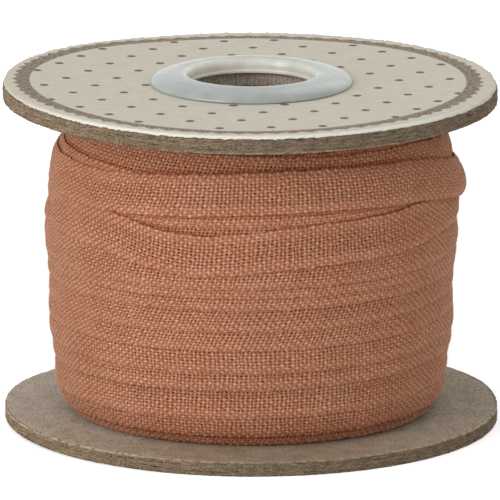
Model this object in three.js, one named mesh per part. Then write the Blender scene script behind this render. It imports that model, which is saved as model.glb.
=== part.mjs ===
// A spool of narrow cotton ribbon: two round board flanges on a card core tube, a paper label with a
// moulded eyelet on the upper flange, and the ribbon wound between the flanges.
// Millimetres, +Z up. The origin is the centre of the lower flange's underside, where the spool stands.
// The front, where the last two turns part, faces -Y. Azimuth is counted from -Y towards +X.

import * as THREE from 'three';

// ---- driving dimensions ----

const FLANGE_RADIUS = 40;
const BOARD_THICKNESS = 2.4;
const BOARD_EDGE = 0.3; // worn bevel on the rim of each board
const LABEL_TOP = 55.6; // height of the label's face above the table
const LABEL_THICKNESS = 0.25;
const LABEL_MARGIN = 0.15; // the label stops this far inside the rim
const CLEARANCE = 0.3; // between neighbouring pieces
const HOLE_RADIUS = 11.3; // through both boards, the label and the core tube
const CORE_WALL = 1.5;

const LIP_RADIUS = 16.4;
const LIP_CREST_RADIUS = 11.9;
const LIP_HEIGHT = 1.65;
const THROAT_RADIUS = 10.1;
const SKIRT_END_RADIUS = 10.5; // inside radius at the foot of the skirt
const SKIRT_DEPTH = 0.7; // below the label's face

const TAPE_WIDTH = 6.5;
const WINDING_SHIFT = 0.15; // the winding is a little proud on its +X side
const TURN_STEP = 0.3; // how far a turn's lower edge stands out over the turn below it
const TURN_TILT = 0.55; // each turn rises this much towards +X and falls as much towards -X
const FOOT_TURN_RADIUS = 28.8; // the lowest turn is tucked in on the lower board
const FOOT_TURN_HEIGHT = 1.7;
const HEAD_GAP_DEPTH = 0.5; // the shaded groove over the topmost turn
const HEAD_GAP_HEIGHT = 1.5;
const EDGE_RISE = 0.08; // height over which an edge steps out
const LEAST_STRIP = 0.05; // what is left of a strip that two turns close over

const BOARD_SEGMENTS = 96;
const CORE_SEGMENTS = 64;
const WINDING_COLUMNS = 72;

// ---- heights worked out from them ----

const UPPER_BOARD_TOP = LABEL_TOP - LABEL_THICKNESS - CLEARANCE;
const UPPER_BOARD_FOOT = UPPER_BOARD_TOP - BOARD_THICKNESS;
const WINDING_FOOT = BOARD_THICKNESS + CLEARANCE;
const WINDING_TOP = UPPER_BOARD_FOOT - CLEARANCE;
const HEAD_GAP_FOOT = WINDING_TOP - HEAD_GAP_HEIGHT;
const CORE_RADIUS = HOLE_RADIUS + CORE_WALL;

// The packed barrel under the last layer of ribbon, from its foot up.
const BARREL = [
  { height: 4, radius: 30.6 },
  { height: 7.3, radius: 31.5 },
  { height: 12, radius: 31.9 },
  { height: 17, radius: 32.6 },
  { height: 30, radius: 32.7 },
  { height: 40, radius: 32.2 },
  { height: 44, radius: 32.3 },
  { height: 47, radius: 32 },
  { height: 49, radius: 30.9 },
  { height: 52, radius: 29.6 },
];

// The turns of the last layer that are laid edge over edge: where the lower edge of each crosses the front.
const LAID_TURNS = [4.3, 7.3, 12.1, 15, 18.7, 21.8, 25.3, 27.3, 28.7];

// The two loose turns laid last, which wander over the rest: the lower edge of each by azimuth, and how far
// it stands out there. They cross behind the right side. At the front they part, and a narrow strip of the
// layer below shows between them.
const LOOSE_TURNS = [
  { azimuth: -180, low: 32.6, lowProud: 0.6, high: 39.2, highProud: 0.6 },
  { azimuth: -135, low: 32.9, lowProud: 0.7, high: 39.6, highProud: 0.5 },
  { azimuth: -90, low: 33.5, lowProud: 0.9, high: 40, highProud: 0.4 },
  { azimuth: -45, low: 32.9, lowProud: 0.9, high: 39.8, highProud: 0.6 },
  { azimuth: -15, low: 30.8, lowProud: 0.8, high: 40.7, highProud: 0.7 },
  { azimuth: 20, low: 32.4, lowProud: 0.9, high: 41.7, highProud: 0.9 },
  { azimuth: 55, low: 33, lowProud: 1, high: 41.1, highProud: 1.5 },
  { azimuth: 90, low: 34.6, lowProud: 1.3, high: 38.5, highProud: 2.6 },
  { azimuth: 130, low: 36, lowProud: 0.8, high: 36.8, highProud: 1.4 },
  { azimuth: 180, low: 32.6, lowProud: 0.6, high: 39.2, highProud: 0.6 },
];

// The profile of a loose turn from its lower edge to its upper edge: the share of its height and of its proud.
const LOOSE_PROFILE = [
  { share: 0, proud: 0.85 },
  { share: 0.25, proud: 1 },
  { share: 0.6, proud: 0.85 },
  { share: 1, proud: 0.45 },
];

// ---- materials ----

const GREYBOARD = new THREE.MeshStandardMaterial({ color: 0x93887a, roughness: 0.95 });
const CORE_CARD = new THREE.MeshStandardMaterial({ color: 0x7d7068, roughness: 0.95 });
const LABEL_PAPER = new THREE.MeshStandardMaterial({ color: 0xc8c1b2, roughness: 0.7 });
const MILKY_PLASTIC = new THREE.MeshStandardMaterial({ color: 0xc6d0d4, roughness: 0.3 });
const COTTON = new THREE.MeshStandardMaterial({ color: 0xa66a4e, roughness: 0.95 });

// ---- shared helpers ----

/** A closed ring turned about Z from a profile of [radius, height] pairs that closes on itself. */
function turnedRing(profile, segments) {
  const closed = [...profile, profile[0]].map(([radius, height]) => new THREE.Vector2(radius, height));
  return new THREE.LatheGeometry(closed, segments).rotateX(Math.PI / 2);
}

/** Reads a table whose first column is `key`: returns a function of `key` that gives the other columns. */
function smoothTable(table, key, ending) {
  const columns = Object.keys(table[0]).filter((column) => column !== key);
  const values = table.flatMap((row) => columns.map((column) => row[column]));
  const curve = new THREE.CubicInterpolant(table.map((row) => row[key]), values, columns.length);
  curve.settings = { endingStart: ending, endingEnd: ending };
  return (at) => {
    const read = curve.evaluate(at);
    return Object.fromEntries(columns.map((column, i) => [column, read[i]]));
  };
}

function named(name, geometry, material) {
  const mesh = new THREE.Mesh(geometry, material);
  mesh.name = name;
  return mesh;
}

// ---- the hard pieces ----

/** One round board with its centre hole and a bevelled rim, standing on Z = 0. */
function flangeBoard() {
  return turnedRing([
    [HOLE_RADIUS, 0],
    [FLANGE_RADIUS - BOARD_EDGE, 0],
    [FLANGE_RADIUS, BOARD_EDGE],
    [FLANGE_RADIUS, BOARD_THICKNESS - BOARD_EDGE],
    [FLANGE_RADIUS - BOARD_EDGE, BOARD_THICKNESS],
    [HOLE_RADIUS, BOARD_THICKNESS],
  ], BOARD_SEGMENTS);
}

/** The printed paper disc that covers the upper board. */
function labelDisc() {
  const radius = FLANGE_RADIUS - LABEL_MARGIN;
  return turnedRing([
    [HOLE_RADIUS, 0],
    [radius, 0],
    [radius, LABEL_THICKNESS],
    [HOLE_RADIUS, LABEL_THICKNESS],
  ], BOARD_SEGMENTS);
}

/** The card tube that carries the ribbon, between the two boards. */
function coreTube() {
  return turnedRing([
    [HOLE_RADIUS, WINDING_FOOT],
    [CORE_RADIUS, WINDING_FOOT],
    [CORE_RADIUS, WINDING_TOP],
    [HOLE_RADIUS, WINDING_TOP],
  ], CORE_SEGMENTS);
}

/** The moulded eyelet: a domed lip on the label, and a short skirt down into the board's hole. */
function eyelet() {
  const skirtRadius = HOLE_RADIUS - CLEARANCE;
  const underside = LABEL_TOP + CLEARANCE;
  const crest = underside + LIP_HEIGHT;
  const foot = LABEL_TOP - SKIRT_DEPTH;
  return turnedRing([
    [SKIRT_END_RADIUS, foot],
    [skirtRadius, foot],
    [skirtRadius, underside],
    [LIP_RADIUS - 0.3, underside],
    [LIP_RADIUS, underside + 0.15 * LIP_HEIGHT],
    [LIP_RADIUS - 0.75, underside + 0.55 * LIP_HEIGHT],
    [LIP_RADIUS - 1.9, underside + 0.78 * LIP_HEIGHT],
    [LIP_RADIUS - 3.4, underside + 0.94 * LIP_HEIGHT],
    [LIP_CREST_RADIUS, crest],
    [THROAT_RADIUS + 0.85, underside + 0.9 * LIP_HEIGHT],
    [THROAT_RADIUS + 0.25, underside + 0.6 * LIP_HEIGHT],
    [THROAT_RADIUS, underside],
  ], CORE_SEGMENTS);
}

// ---- the winding ----

const barrelAt = smoothTable(BARREL, 'height', THREE.ZeroSlopeEnding);
const looseTurnsAt = smoothTable(LOOSE_TURNS, 'azimuth', THREE.WrapAroundEnding);

/** One strip of the outside, from `foot` to `head`, as [radius, height] pairs that step out at its foot. */
function strip(foot, head, profile, proud) {
  return profile.map((point) => {
    const height = THREE.MathUtils.lerp(foot + EDGE_RISE, head, point.share);
    return [barrelAt(height).radius + proud * point.proud, height];
  });
}

/** The turns laid edge over edge, each leaning out at its lower edge, up to the low loose turn. */
function laidStrips(azimuth, head) {
  const rise = TURN_TILT * Math.sin(THREE.MathUtils.degToRad(azimuth));
  const leaning = [{ share: 0, proud: 1 }, { share: 0.5, proud: 0.6 }, { share: 1, proud: 0 }];
  return LAID_TURNS.flatMap((edge, i) => {
    const next = LAID_TURNS[i + 1];
    return strip(edge + rise, next ? next + rise : head, leaning, TURN_STEP);
  });
}

/** The outside of the winding at one azimuth, from the lower board to the upper one. */
function outsideSection(azimuth) {
  const { low, lowProud, high, highProud } = looseTurnsAt(azimuth);
  const lowHead = Math.min(low + TAPE_WIDTH, high - 2 * LEAST_STRIP);
  const highHead = high + TAPE_WIDTH;
  const flat = [{ share: 0, proud: 0 }, { share: 1, proud: 0 }];
  const grooveRadius = barrelAt(WINDING_TOP).radius - HEAD_GAP_DEPTH;
  return [
    [FOOT_TURN_RADIUS, WINDING_FOOT],
    [FOOT_TURN_RADIUS, WINDING_FOOT + FOOT_TURN_HEIGHT - 2 * TURN_TILT],
    ...laidStrips(azimuth, low),
    ...strip(low, lowHead, LOOSE_PROFILE, lowProud),
    ...strip(lowHead, high, flat, 0),
    ...strip(high, highHead, LOOSE_PROFILE, highProud),
    ...strip(highHead, HEAD_GAP_FOOT, flat, 0),
    [grooveRadius, HEAD_GAP_FOOT + EDGE_RISE],
    [grooveRadius, WINDING_TOP],
  ];
}

/** One closed solid of the wound ribbon, lofted through its sections: the core tube stands in its hole. */
function windingSolid() {
  const innerRadius = CORE_RADIUS + CLEARANCE;
  const positions = [];
  const indices = [];
  let ringLength = 0;
  for (let column = 0; column < WINDING_COLUMNS; column++) {
    const azimuth = (360 * column) / WINDING_COLUMNS - 180;
    const turn = THREE.MathUtils.degToRad(azimuth);
    const ring = [[innerRadius, WINDING_FOOT], ...outsideSection(azimuth), [innerRadius, WINDING_TOP]];
    for (const [i, [level, height]] of ring.entries()) {
      const inside = i === 0 || i === ring.length - 1;
      const radius = inside ? level : level + WINDING_SHIFT * Math.sin(turn);
      positions.push(radius * Math.sin(turn), -radius * Math.cos(turn), height);
    }
    ringLength = ring.length;
  }
  for (let column = 0; column < WINDING_COLUMNS; column++) {
    const here = column * ringLength;
    const beside = ((column + 1) % WINDING_COLUMNS) * ringLength;
    for (let i = 0; i < ringLength; i++) {
      const above = (i + 1) % ringLength;
      indices.push(here + i, beside + i, beside + above, here + i, beside + above, here + above);
    }
  }
  const geometry = new THREE.BufferGeometry();
  geometry.setAttribute('position', new THREE.Float32BufferAttribute(positions, 3));
  geometry.setIndex(indices);
  geometry.computeVertexNormals();
  return geometry;
}

// ---- the spool ----

const spool = new THREE.Group();

spool.add(named('flange_bottom', flangeBoard(), GREYBOARD));

const flangeTop = named('flange_top', flangeBoard(), GREYBOARD);
flangeTop.position.z = UPPER_BOARD_FOOT;
spool.add(flangeTop);

const label = named('label', labelDisc(), LABEL_PAPER);
label.position.z = LABEL_TOP - LABEL_THICKNESS;
spool.add(label);

spool.add(named('core_tube', coreTube(), CORE_CARD));
spool.add(named('eyelet', eyelet(), MILKY_PLASTIC));
spool.add(named('winding', windingSolid(), COTTON));

export default spool;
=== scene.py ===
"""Looks for a spool of cotton ribbon: two greyboard flanges on a card core, a printed paper label, a milky
plastic eyelet, and a woven tape laid in turns. Tables are in millimetres and degrees; azimuth runs from the
front, positive towards +X."""

import math

import bpy
import numpy as np
from mathutils import Matrix, Vector


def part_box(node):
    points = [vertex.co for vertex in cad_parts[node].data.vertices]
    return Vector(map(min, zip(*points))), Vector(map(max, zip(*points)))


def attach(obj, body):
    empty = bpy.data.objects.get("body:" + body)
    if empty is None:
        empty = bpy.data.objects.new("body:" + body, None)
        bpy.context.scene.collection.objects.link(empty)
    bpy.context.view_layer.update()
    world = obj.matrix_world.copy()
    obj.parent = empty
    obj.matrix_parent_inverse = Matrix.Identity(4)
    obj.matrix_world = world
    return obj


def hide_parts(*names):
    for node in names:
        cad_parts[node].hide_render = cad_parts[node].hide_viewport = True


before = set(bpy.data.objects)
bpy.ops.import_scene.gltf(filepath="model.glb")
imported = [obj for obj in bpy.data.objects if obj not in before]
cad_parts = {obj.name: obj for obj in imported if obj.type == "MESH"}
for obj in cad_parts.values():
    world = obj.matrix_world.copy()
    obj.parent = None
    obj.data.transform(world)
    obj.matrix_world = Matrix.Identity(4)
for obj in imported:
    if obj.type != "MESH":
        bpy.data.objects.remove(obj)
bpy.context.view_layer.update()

MM = 0.001
CHANCE = np.random.default_rng(7)

# Camera: a long lens from a little above the front.
CAMERA_ELEVATION = 12.97
CAMERA_DISTANCE = 2.0
CAMERA_LENS = 888.5
CAMERA_ROLL = 0.05
CAMERA_AIM = (0.0, 0.0, 0.02793)

# name, azimuth, elevation, distance m, size m, power W
LAMPS = (
    ("key", -50, 21, 1.6, 1.2, 11.0),
    ("rear", 150, 35, 1.6, 1.2, 2.0),
)
WORLD_LEVEL = 0.69
FLOOR_GLOW = 0.55
WHITE = (1.0, 1.0, 1.0, 1.0)

# The tape: a plain weave of 13 ends, with a pick every 0.713 mm.
TAPE_WIDTH = 6.6
TAPE_THICKNESS = 0.2
PICK_PITCH = 0.713
END_COUNT = 13
END_PITCH = TAPE_WIDTH / END_COUNT
HOLE_DEPTH = 0.3
THREAD_LIFT = 0.045
THREAD_UNEVEN = 0.014
THREAD_WAVE = 0.5
EDGE_SCALLOP = 0.05
EDGE_WANDER = 0.1
PICK_DRIFT = 0.25
PICK_JITTER = 0.07
ALONG_JITTER = 0.08
ASIDE_JITTER = 0.07
# The radius that lengths along the tape are worked out at.
TAPE_RADIUS = 32.6
MM_PER_DEGREE = 0.57

# The grid on which turns pile up: one column each half degree, one row each 0.1 mm.
AZIMUTH_STEP = 0.5
AZIMUTHS = np.arange(-180, 180, AZIMUTH_STEP)
ROW_STEP = 0.1
WINDING_LOW = 2.4
WINDING_HIGH = 52.4
HEIGHTS = np.arange(WINDING_LOW, WINDING_HIGH + ROW_STEP / 2, ROW_STEP)
ACROSS = np.arange(0, TAPE_WIDTH + ROW_STEP / 2, ROW_STEP)
DRAPE = 0.15
# The share of the slope beneath it that a tape takes on at once.
SETTLED = 0.35
# The tape is thinner at its edges, where it is pressed down.
EDGE_PRESSED = 0.15
EDGE_PRESSED_MORE = 0.05
EDGE_PRESSED_WIDTH = 0.6
# The unevenness of the turns: how many waves cross, how long they are, and how high.
RIPPLE_WAVES = 7
RIPPLE_LENGTH = (9, 34)
RIPPLE_RADIUS = 32
BURIED_RIPPLE = 0.18
TAPE_RIPPLE = 0.07
# The buried turns take every second column and every eighth row of the grid.
BURIED_COLUMNS = 2
BURIED_ROWS = 8
BURIED_RADIUS = 30

# Painted shade in clefts goes by how far they lie below the winding blurred by this much, over this range.
SUNK_BLUR = 0.45
SUNK_RANGE = 0.3
# Loose fibres, and how deep they are rooted.
FUZZ_COUNT = 42000
FUZZ_LENGTH = (0.3, 1.0)
FUZZ_THICKNESS = (0.01, 0.02)
FUZZ_ROOT = 0.03

# The buried turns that everything shown is wound on.
# height, radius
BARREL = (
    (2.6, 28.5), (4.2, 29.8), (7.3, 30.75), (10, 31), (12.5, 31.6), (17, 32.25), (24, 32.2),
    (29, 32.25), (33, 32.5), (36, 32.3), (41, 31.9), (44, 31.3), (47, 30), (50, 29.3), (52.4, 29),
)
# The winding sits a little to the right of the core, and swells at its sides.
WINDING_SHIFT = 0.15
# height, swelling of the left side, of the right side
SWELLING = (
    (2.4, 0, 0), (6, 0.05, 0.1), (10, 0.15, 0.2), (14, 0.1, 0.25), (20, 0.05, 0.1), (24, 0.1, 0.2),
    (26.5, 0.3, 0.5), (30, 0.35, 0.55), (33, 0.5, 0.45), (35, 0.1, 0.2), (38, 0, 0), (40, 0, 0),
    (42, -0.25, 0), (44, -0.6, 0), (46, -0.75, 0), (52.4, -0.75, 0),
)

# The laid turns, by turns gone from the front of the first one.
# turns, lower edge
LAID_EDGE = (
    (-2, 4.4), (-1, 4.4), (0, 4.2), (1, 7.3), (2, 12.1), (3, 15), (4, 18.7), (5, 21.8), (6, 25.3),
    (7, 27.3), (8, 28.7), (8.25, 29.6), (8.5, 31.3), (8.75, 33.8), (9, 34.6), (10, 38.9),
    (11, 43.6), (12, 43.6),
)
# turns, lean of the picks: the share of a pick's rise by which it also runs along the tape
LAID_LEAN = (
    (-2, 0.1), (0, 0), (1.2, 0.05), (2.2, 0), (3, -0.05), (3.7, 0.3), (4.2, 0.5), (5, 0.45),
    (6, 0.35), (8, 0.3), (12, 0.25),
)
LAID_START = -1.45
LAID_SPLIT = 5.5
LAID_END = 11.35

# Turns that close on themselves. Lift is how far each edge, and the middle, stands off what is below.
# azimuth, lower edge, lift of the lower edge, of the middle, of the upper edge
FOOT_TURN, HEAD_TURN = (((-180, edge, 0, 0, 0), (180, edge, 0, 0, 0)) for edge in (2.46, 45.75))
TOP_TURN = (
    (-180, 44.3, 0, 0, 0.1), (-90, 44.6, 0, 0, 0), (-45, 44.4, 0, 0, 0), (0, 43.8, 0, 0, 0.1),
    (30, 43.1, 0, 0.2, 0.1), (55, 42.9, 0, 0.3, 0.3), (80, 42.1, 0.3, 0.9, 1),
    (120, 42.9, 0, 0.1, 0.1), (180, 44.3, 0, 0, 0.1),
)
STRAY_TURN = (
    (-180, 43.2, 0, 0, 0.1), (-120, 42.2, 0, 0, 0.1), (-90, 40.9, 0, 0, 0), (-72, 40.6, 0, 0, 0),
    (-55, 40.45, 0, 0, 0), (-42, 40.2, 0, 0, 0), (-30, 39.8, 0, 0, 0), (0, 40.9, 0, 0, 0),
    (25, 40.6, 0, 0, 0), (60, 39.8, 0, 0.2, 0.1), (90, 37.4, 0, 0.3, 0.1), (130, 39.8, 0, 0.1, 0.1),
    (180, 43.2, 0, 0, 0.1),
)
# The loose turns are one tape that goes round twice, so its azimuth runs on to 540.
LOOSE_TURNS = (
    (-180, 32.6, 0.1, 0.1, 0.1), (-135, 32.9, 0.1, 0.1, 0.1), (-90, 33.7, 0.1, 0.1, 0.1),
    (-60, 33.7, 0.1, 0.1, 0.1), (-42, 33, 0.1, 0.1, 0.25), (-28, 31.5, 0.1, 0.1, 0.45),
    (-14, 30.8, 0.1, 0.1, 0.3), (0, 31.5, 0.1, 0.1, 0.1), (19, 32.4, 0.1, 0.1, 0.15),
    (46, 32.9, 0.1, 0.2, 0.3), (57, 33.4, 0.2, 0.3, 0.3), (69, 33.9, 0.3, 0.6, 0.3),
    (90, 34.6, 0.5, 0.9, 0.3), (130, 36.4, 0.1, 0.1, 0.1), (180, 39.2, 0.1, 0.1, 0.1),
    (225, 39.7, 0, 0.1, 0.1), (270, 39.8, 0, 0.4, 0.3), (300, 39.6, 0, 0.3, 0.3),
    (314, 39.65, 0.1, 0.15, 0.2), (331, 40.2, 0.3, 0.2, 0), (346, 40.65, 0.2, 0.1, 0),
    (360, 41, 0.2, 0.2, 0), (378, 41.25, 0.3, 0.3, 0.1), (395, 41, 0.5, 0.6, 0),
    (412, 40.5, 0.6, 0.8, 0), (450, 37.5, 0.6, 1, 0.4), (490, 36, 0.5, 0.5, 0.1),
    (540, 32.6, 0.1, 0.1, 0.1),
)

# azimuth, lean of the picks
LOOSE_LEAN = (
    (-180, 0.3), (-90, 0.25), (-40, 0.05), (0, 0.08), (60, -0.05), (110, 0.2), (180, 0.3),
    (270, 0.35), (315, 0.35), (345, 0.12), (370, 0), (400, -0.1), (440, 0.2), (540, 0.3),
)
TURN_LEAN = ((-180, 0.35), (-60, 0.2), (0, 0.35), (60, 0.3), (180, 0.35))

# The card: the hole through it, and the climb of the tube's seam in a turn.
HOLE_RADIUS = 11.3
SEAM_PITCH = 38
# The eyelet and the lower board sit a little to the right.
EYELET_SHIFT = 0.2
BOTTOM_SHIFT = 0.22

# The boards are a little warped: how far they rise at this radius.
RIM_RADIUS = 40
# azimuth, rise
TOP_WARP = (
    (-180, 0), (-153, 0.05), (-145, 0.25), (-126, 0.55), (-90, 0.7), (-60, 0.55), (-50, 0.42),
    (-40, 0.25), (-30, 0.1), (-20, 0), (40, 0), (60, 0.05), (90, 0.1), (117, 0.2), (140, 0.15),
    (160, 0), (180, 0),
)
BOTTOM_WARP = (
    (-180, 0.3), (-150, 0.2), (-123, 0.2), (-112, 0.4), (-90, 0.48), (-70, 0.37), (-50, 0.18),
    (-35, 0.1), (-20, 0), (60, 0), (80, 0.1), (95, 0.35), (106, 0.55), (123, 0.58), (150, 0.45),
    (180, 0.3),
)

# Label print: a lattice of dots, and a toothed ring that is a little off centre.
DOT_ORIGIN = (-0.46, -0.18)
DOT_ALONG = (8.19, 0.8)
DOT_DOWN = (-3.46, -5.86)
DOT_RADIUS = 0.72
RING_CENTRE = (-0.34, -0.14)
RING_RADIUS = 35.3
RING_WIDTH = 2.0
RING_TEETH = 81
TOOTH_DEPTH = 0.8
RING_LOBES = 0.43


def smooth_curve(keys, values, at):
    """A smooth curve through the table's points, held level past its ends."""
    keys = np.asarray(keys, float)
    values = np.asarray(values, float)
    slopes = np.gradient(values, keys)
    slopes[0] = slopes[-1] = 0.5 * (slopes[0] + slopes[-1])
    at = np.clip(at, keys[0], keys[-1])
    cell = np.clip(np.searchsorted(keys, at, side="right") - 1, 0, len(keys) - 2)
    width = keys[cell + 1] - keys[cell]
    t = (at - keys[cell]) / width
    rise = values[cell + 1] - values[cell]
    start = slopes[cell] * width
    end = slopes[cell + 1] * width
    return values[cell] + t * (start + t * (3 * rise - 2 * start - end + t * (start + end - 2 * rise)))


def ripple(lengths, across, size):
    """A gentle unevenness over (length, across), from a few crossing waves."""
    total = np.zeros(np.broadcast(lengths, across).shape)
    for _ in range(RIPPLE_WAVES):
        wave = CHANCE.uniform(*RIPPLE_LENGTH)
        slant = CHANCE.uniform(-0.5, 0.5)
        phase = CHANCE.uniform(0, 2 * math.pi)
        total += np.sin(2 * math.pi * lengths / wave + slant * across + phase)
    return size * total / RIPPLE_WAVES


def buried_winding():
    """The radii that the shown turns are laid on, over (azimuth, height)."""
    radius = smooth_curve(*zip(*BARREL), HEIGHTS)
    keys, *swells = zip(*SWELLING)
    left, right = (smooth_curve(keys, swell, HEIGHTS)[None, :] for swell in swells)
    angle = np.radians(AZIMUTHS)[:, None]
    side = np.sin(angle)
    radius = radius[None, :] + WINDING_SHIFT * side + np.where(side < 0, left, right) * side ** 2
    return radius + ripple(angle * RIPPLE_RADIUS, HEIGHTS[None, :] * 0.4, BURIED_RIPPLE)


class Course:
    """Where one stretch of tape runs, by default once round: its lower edge, how far it stands off and how
    its picks lean. The tables' keys are in units of so many degrees."""

    def __init__(self, rows, leans=TURN_LEAN, start=-180, end=180, unit=1):
        columns = np.array(rows, float).T
        self.keys = columns[0] * unit
        self.columns = columns[1:]
        self.lean_keys, self.leans = np.array(leans, float).T
        self.lean_keys = self.lean_keys * unit
        self.start = start
        self.end = end

    def low(self, azimuth):
        return smooth_curve(self.keys, self.columns[0], azimuth)

    def lean(self, azimuth):
        return smooth_curve(self.lean_keys, self.leans, azimuth)

    def squeeze(self, azimuth):
        """Cloth that is pulled askew gets narrower."""
        return 1 / np.sqrt(1 + self.lean(azimuth) ** 2)

    def lift(self, azimuth):
        """Lift over (azimuth, across): straight lines from edge to middle to edge, rounded off."""
        if len(self.columns) == 1:
            return np.zeros((len(azimuth), len(ACROSS)))
        lower, middle, upper = (smooth_curve(self.keys, c, azimuth)[:, None] for c in self.columns[1:])
        share = ACROSS / TAPE_WIDTH
        bow = 4 * share * (1 - share)
        return lower * (1 - share) + upper * share + (middle - (lower + upper) / 2) * bow


def sideways(azimuth):
    """0 at the front and 1 past 60 degrees to either side, where the cloth is pressed closer."""
    return np.clip((1 - np.cos(np.radians(azimuth)) - 0.15) / 0.35, 0, 1)


def lay(field, course):
    """Lays a stretch of tape on the field, and returns its outer radius over (azimuth, across)."""
    steps = int(round((course.end - course.start) / AZIMUTH_STEP))
    azimuth = course.start + AZIMUTH_STEP * np.arange(steps)
    low = course.low(azimuth)
    squeeze = course.squeeze(azimuth)
    stand = course.lift(azimuth)
    stand += ripple(np.radians(azimuth)[:, None] * RIPPLE_RADIUS, ACROSS[None, :], TAPE_RIPPLE)
    droop = DRAPE * (ACROSS[:, None] - ACROSS) ** 2
    from_edge = np.minimum(ACROSS, TAPE_WIDTH - ACROSS)
    edge = np.exp(-(from_edge / EDGE_PRESSED_WIDTH) ** 2)
    thickness = TAPE_THICKNESS - (EDGE_PRESSED + EDGE_PRESSED_MORE * sideways(azimuth)[:, None]) * edge
    centred = ACROSS - ACROSS.mean()
    outer = np.empty((steps, len(ACROSS)))
    for i in range(steps):
        column = int(round((azimuth[i] + 180) / AZIMUTH_STEP)) % len(AZIMUTHS)
        heights = low[i] + ACROSS * squeeze[i]
        under = np.interp(heights, HEIGHTS, field[column])
        tilt = SETTLED * centred * (centred @ under) / (centred @ centred)
        rests = tilt + ((under - tilt)[None, :] - droop).max(1)
        outer[i] = rests + thickness[i] + np.maximum(stand[i], 0)
        covered = (HEIGHTS >= heights[0]) & (HEIGHTS <= heights[-1])
        laid = np.interp(HEIGHTS[covered], heights, outer[i])
        field[column, covered] = np.maximum(field[column, covered], laid)
    return outer


def sample(table, rows, columns):
    """Bilinear values of a table at fractional rows and columns."""
    rows = np.clip(rows, 0, table.shape[0] - 1.001)
    columns = np.clip(columns, 0, table.shape[1] - 1.001)
    r = rows.astype(int)
    c = columns.astype(int)
    fr = rows - r
    fc = columns - c
    top = table[r, c] * (1 - fc) + table[r, c + 1] * fc
    bottom = table[r + 1, c] * (1 - fc) + table[r + 1, c + 1] * fc
    return top * (1 - fr) + bottom * fr


def around(radius, azimuth, height):
    """Points in metres from cylindrical millimetres."""
    a = np.radians(azimuth)
    return np.stack([radius * np.sin(a), -radius * np.cos(a), height + 0 * radius], -1) * MM


def extent(node):
    """A node's foot, its top and its reach to the right, in millimetres."""
    low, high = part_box(node)
    return low.z / MM, high.z / MM, high.x / MM


def mesh_piece(name, node, points, faces, uv, uv_name, materials, kinds=None, sunk=None):
    """A mesh of triangles or quads that stands for a node, with one UV for each face corner. kinds picks each
    face's material, and only the first kind is smooth. sunk is a number at each point that sets the
    material's painted cleft shade."""
    mesh = bpy.data.meshes.new(name)
    kinds = np.zeros(len(faces)) if kinds is None else kinds
    mesh.vertices.add(len(points))
    mesh.vertices.foreach_set("co", points.astype(np.float32).ravel())
    mesh.loops.add(faces.size)
    mesh.loops.foreach_set("vertex_index", faces.astype(np.int32).ravel())
    mesh.polygons.add(len(faces))
    mesh.polygons.foreach_set("loop_start", np.arange(0, faces.size, faces.shape[1], dtype=np.int32))
    mesh.polygons.foreach_set("use_smooth", kinds == 0)
    mesh.polygons.foreach_set("material_index", kinds.astype(np.int32))
    if sunk is not None:
        mesh.attributes.new("sunk", "FLOAT", "POINT").data.foreach_set("value", sunk.astype(np.float32))
    layer = mesh.uv_layers.new(name=uv_name)
    mesh.update(calc_edges=True)
    layer.data.foreach_set("uv", uv.astype(np.float32).ravel())
    mesh.validate()
    for material in materials:
        mesh.materials.append(material)
    piece = bpy.data.objects.new(name, mesh)
    bpy.context.scene.collection.objects.link(piece)
    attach(piece, "root")
    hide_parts(node)
    return piece


def grid(rows, columns):
    """Every row and column number of a grid, as two tables."""
    return np.meshgrid(np.arange(rows), np.arange(columns), indexing="ij")


def scatter(shape, size, closed):
    """Random shifts over a lattice, which neighbours partly share."""
    loose = CHANCE.normal(0, size, shape)
    shared = loose.copy()
    shared[1:] += loose[:-1]
    shared[:-1] += loose[1:]
    shared[:, 1:] += loose[:, :-1]
    shared[:, :-1] += loose[:, 1:]
    if closed:
        shared[-1] = shared[0]
    return shared / math.sqrt(5)


def cell_middle(table):
    """The mean of each cell's four corners."""
    return (table[:-1, :-1] + table[1:, :-1] + table[:-1, 1:] + table[1:, 1:]) / 4


def blurred(field, sigma):
    """The field smoothed along its second axis, sigma in rows."""
    reach = int(3 * sigma)
    weights = np.exp(-0.5 * (np.arange(-reach, reach + 1) / sigma) ** 2)
    weights /= weights.sum()
    padded = np.pad(field, ((0, 0), (reach, reach)), mode="edge")
    return sum(w * padded[:, k:k + field.shape[1]] for k, w in enumerate(weights))


def wound(field, azimuth, height):
    """The field's radius at each azimuth and height."""
    return sample(field, (azimuth + 180) / AZIMUTH_STEP, (height - WINDING_LOW) / ROW_STEP)


def sunk_below(smooth, points):
    """How far each point lies below the smoothed winding, which sets the painted cleft shade: 0 stands proud,
    0.5 is level, 1 is in a cleft.
    """
    x, y, z = points.T / MM
    level = wound(smooth, np.degrees(np.arctan2(x, -y)), z)
    return np.clip(0.5 + (level - np.hypot(x, y)) / SUNK_RANGE, 0, 1)


def pick_azimuths(course, picks):
    """Where each pick lies along the tape: evenly but for a slow drift and a small jitter."""
    pick = np.arange(picks + 1)
    knots = np.arange(0, picks + 9, 8)
    drift = np.interp(pick, knots, CHANCE.normal(0, PICK_DRIFT, len(knots)))
    drift += CHANCE.normal(0, PICK_JITTER, picks + 1)
    drift *= np.clip(np.minimum(pick, picks - pick) / 12, 0, 1)
    return course.start + (course.end - course.start) * (pick + drift) / picks


def edge_wander(at, closed):
    """How far the tape's lower and upper edges stray at each pick."""
    wander = CHANCE.normal(0, EDGE_WANDER / 2, (2, len(at)))
    wander += EDGE_WANDER * np.stack([ripple(at * MM_PER_DEGREE * k, 0 * at, 1.5) for k in (3, 4)])
    pick = np.arange(len(at))
    return wander * np.clip(np.minimum(pick, pick[::-1]) / 6, 0, 1) if closed else wander


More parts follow.
